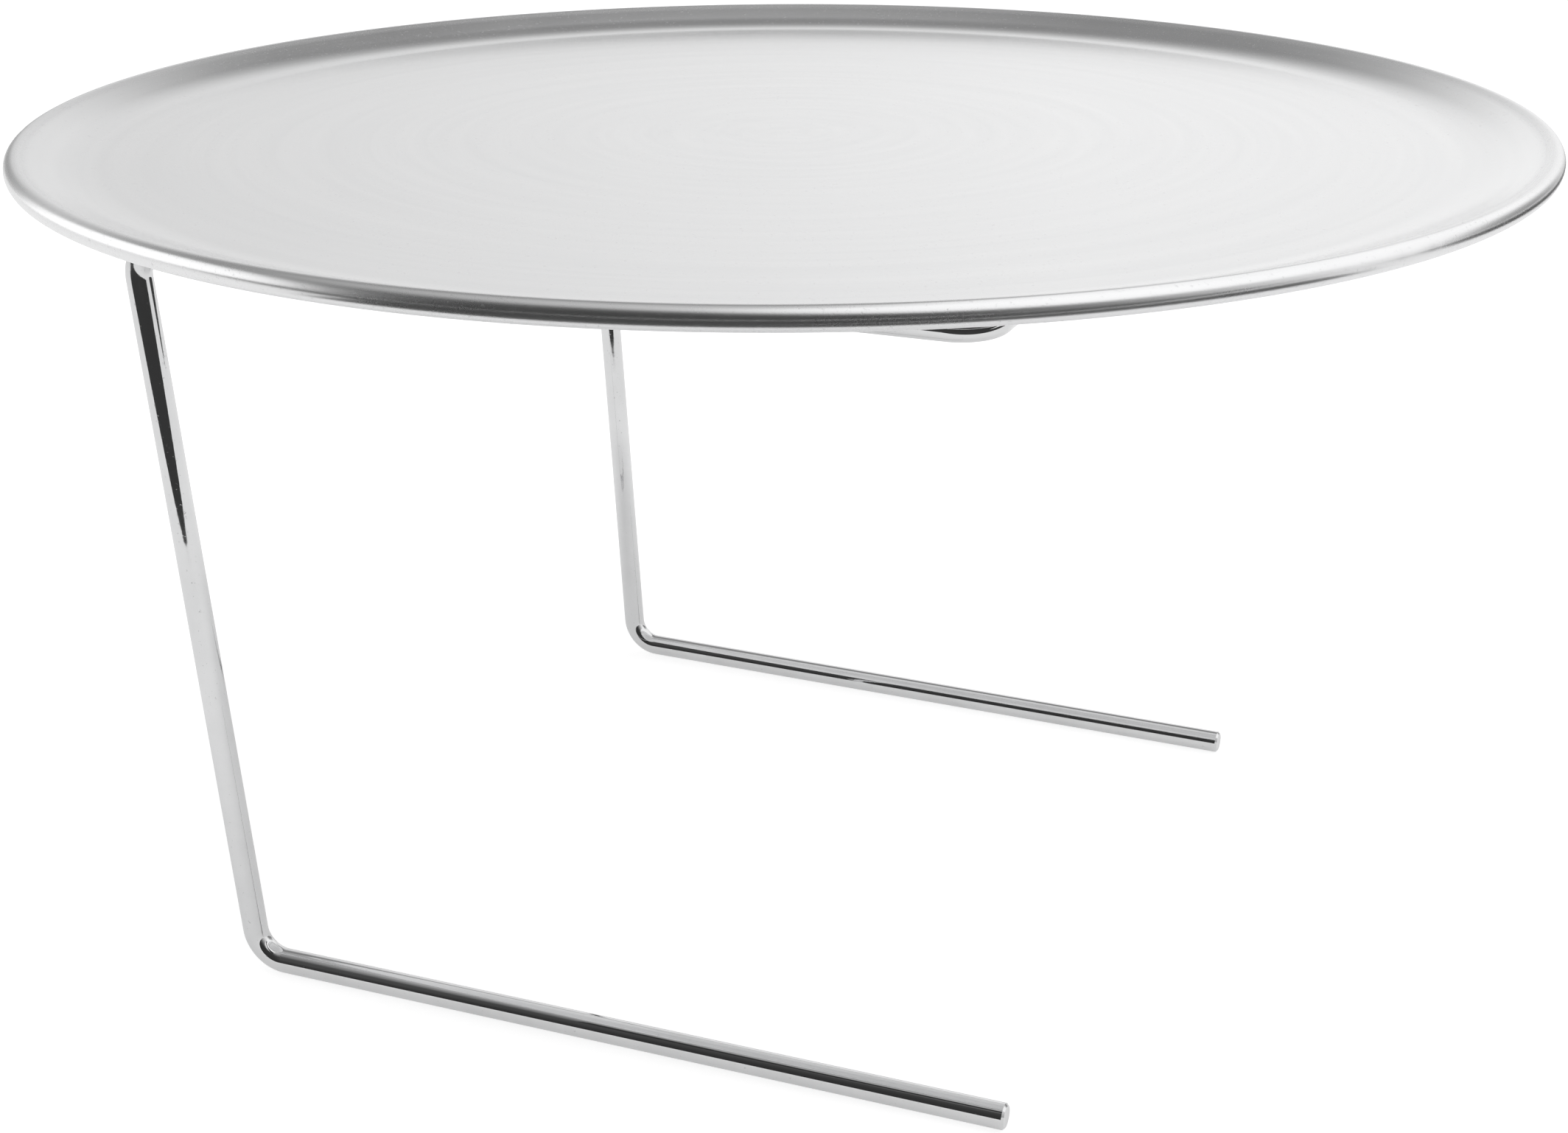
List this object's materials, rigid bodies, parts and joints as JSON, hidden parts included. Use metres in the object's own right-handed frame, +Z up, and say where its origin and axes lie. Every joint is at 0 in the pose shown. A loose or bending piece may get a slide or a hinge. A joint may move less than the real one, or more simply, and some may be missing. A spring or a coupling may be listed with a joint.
{
  "type": "pizza pan on a wire tray stand",
  "caption": "Round aluminium pizza pan with a rolled rim, resting on a cantilevered tray stand bent from chrome-plated steel wire.",
  "frame": {"origin": "on the table, under the middle of the pan", "axes": "+X is the way the stand's feet point, +Z is up, out of the pan"},
  "size_m": [0.3809, 0.381, 0.191],
  "materials": {
    "pan_aluminium": "satin, spun, bare",
    "stand_chrome": "bright chrome plate on steel wire"
  },
  "bodies": {
    "stand": {"wire_stand": "stand_chrome"},
    "pan": {"pizza_pan": "pan_aluminium"}
  },
  "joints": [
    {"name": "pan_lift", "type": "slide", "parent": "stand", "child": "pan", "axis": [0, 0, 1], "range_m": [0, 0.2]}
  ]
}
